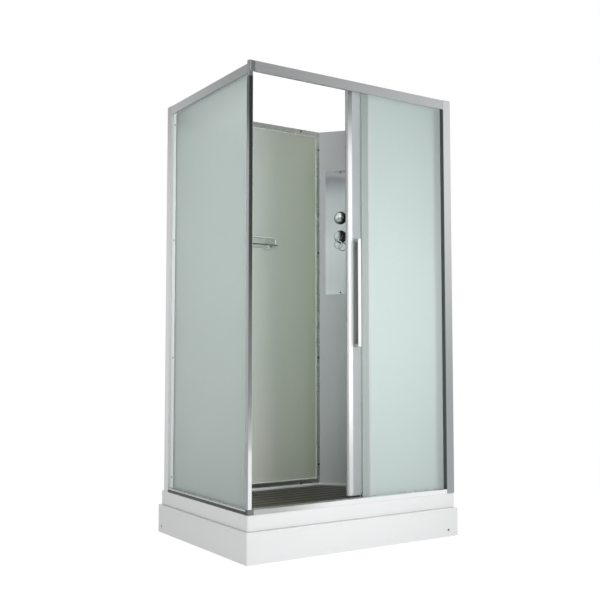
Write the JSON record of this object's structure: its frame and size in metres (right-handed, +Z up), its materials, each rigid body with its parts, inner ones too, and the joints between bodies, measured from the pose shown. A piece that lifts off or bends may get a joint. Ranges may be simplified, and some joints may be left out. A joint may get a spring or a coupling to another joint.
{
  "type": "shower cabin",
  "caption": "Rectangular shower cabin with a skirted tray, frosted panels, a sliding roller door, slatted deck and a corner column with mixer.",
  "frame": {"origin": "middle of the base on the floor", "axes": "+Z up, front with the door towards -Y, side panel towards -X"},
  "size_m": [1.2006, 0.9006, 2.19],
  "materials": {
    "acrylic": "gloss",
    "white_plastic": "gloss",
    "grey_plastic": "satin",
    "black_plastic": "matt",
    "roller_plastic": "satin",
    "clear_plastic": "satin, half clear",
    "black_rubber": "matt",
    "satin_aluminium": "satin anodised",
    "polished_aluminium": "polished",
    "polished_steel": "mirror polished",
    "chrome": "mirror",
    "zinc_steel": "zinc plated",
    "black_steel": "black",
    "galvanised": "galvanised",
    "brass": "cast and turned",
    "hardwood": "dark oiled",
    "frosted_glass": "acid etched",
    "wall_glass": "tinted, back painted",
    "clear_glass": "clear"
  },
  "bodies": {
    "cabin": {"apron": "acrylic", "apron_screws": "zinc_steel", "back_glass": "wall_glass", "back_left_post": "satin_aluminium", "back_wall_frame": "satin_aluminium", "bottom_corner_cap": "grey_plastic", "column_panel": "white_plastic", "control_plate": "polished_steel", "corner_post": "polished_aluminium", "deck_battens": "hardwood", "deck_slats": "hardwood", "diverter_valve": "brass", "door_stops": "black_rubber", "drain_cover": "chrome", "drain_flange": "grey_plastic", "drain_trap": "white_plastic", "fixed_edge_seal": "clear_plastic", "fixed_glass": "frosted_glass", "foot_nuts": "zinc_steel", "foot_pads": "black_plastic", "foot_rods": "zinc_steel", "front_bottom_rail": "satin_aluminium", "front_top_rail": "satin_aluminium", "glass_gaskets": "clear_plastic", "hose_outlet": "chrome", "left_bottom_rail": "satin_aluminium", "left_top_rail": "satin_aluminium", "mixer_body": "brass", "plate_screws": "zinc_steel", "post_caps": "grey_plastic", "right_glass": "wall_glass", "right_post": "satin_aluminium", "right_wall_frame": "satin_aluminium", "rosettes": "chrome", "shelf_brackets": "chrome", "shelf_gallery": "chrome", "shelf_glass": "clear_glass", "side_glass": "frosted_glass", "strike_seal": "clear_plastic", "support_frame": "galvanised", "top_corner_cap": "grey_plastic", "tray": "acrylic", "wall_screws": "black_steel", "water_pipes": "brass"},
    "door": {"door_glass": "frosted_glass", "door_edge_profile": "polished_aluminium", "door_edge_seal": "clear_plastic", "door_trailing_seal": "clear_plastic", "door_handle": "polished_aluminium", "handle_end_caps": "grey_plastic", "handle_screws": "zinc_steel", "top_roller_hubs": "chrome", "bottom_roller_hubs": "chrome"},
    "top_roller_leading": {"top_roller_leading": "roller_plastic"},
    "top_roller_trailing": {"top_roller_trailing": "roller_plastic"},
    "bottom_roller_leading": {"bottom_roller_leading": "roller_plastic"},
    "bottom_roller_trailing": {"bottom_roller_trailing": "roller_plastic"},
    "diverter_knob": {"diverter_knob": "chrome"},
    "mixer_dome": {"mixer_dome": "chrome"},
    "mixer_lever": {"mixer_lever": "chrome"}
  },
  "joints": [
    {"name": "door_slide", "type": "slide", "parent": "cabin", "child": "door", "axis": [1, 0, 0], "range_m": [-0.525, 0]},
    {"name": "top_leading_roll", "type": "hinge", "parent": "door", "child": "top_roller_leading", "pos_m": [0.06165, -0.3793, 2.1721], "axis": [0, 1, 0], "range_deg": [-4016, 5]},
    {"name": "top_trailing_roll", "type": "hinge", "parent": "door", "child": "top_roller_trailing", "pos_m": [0.518, -0.3793, 2.1721], "axis": [0, 1, 0], "range_deg": [-4016, 5]},
    {"name": "bottom_leading_roll", "type": "hinge", "parent": "door", "child": "bottom_roller_leading", "pos_m": [0.06165, -0.3793, 0.2348], "axis": [0, 1, 0], "range_deg": [-3544, 5]},
    {"name": "bottom_trailing_roll", "type": "hinge", "parent": "door", "child": "bottom_roller_trailing", "pos_m": [0.518, -0.3793, 0.2348], "axis": [0, 1, 0], "range_deg": [-3544, 5]},
    {"name": "diverter_turn", "type": "hinge", "parent": "cabin", "child": "diverter_knob", "pos_m": [0.42003, 0.29139, 1.671], "axis": [-0.766, -0.6428, 0], "range_deg": [-60, 60]},
    {"name": "mixer_turn", "type": "hinge", "parent": "cabin", "child": "mixer_dome", "pos_m": [0.39705, 0.2721, 1.564], "axis": [-0.766, -0.6428, 0], "range_deg": [-45, 45]},
    {"name": "mixer_lift", "type": "hinge", "parent": "mixer_dome", "child": "mixer_lever", "pos_m": [0.39552, 0.27082, 1.551], "axis": [-0.6428, 0.766, 0], "range_deg": [0, 25]}
  ],
  "couplings": [
    {"joint": "top_leading_roll", "follows": "door_slide", "rad_per_m": 133.33},
    {"joint": "top_trailing_roll", "follows": "door_slide", "rad_per_m": 133.33},
    {"joint": "bottom_leading_roll", "follows": "door_slide", "rad_per_m": 117.65},
    {"joint": "bottom_trailing_roll", "follows": "door_slide", "rad_per_m": 117.65}
  ]
}
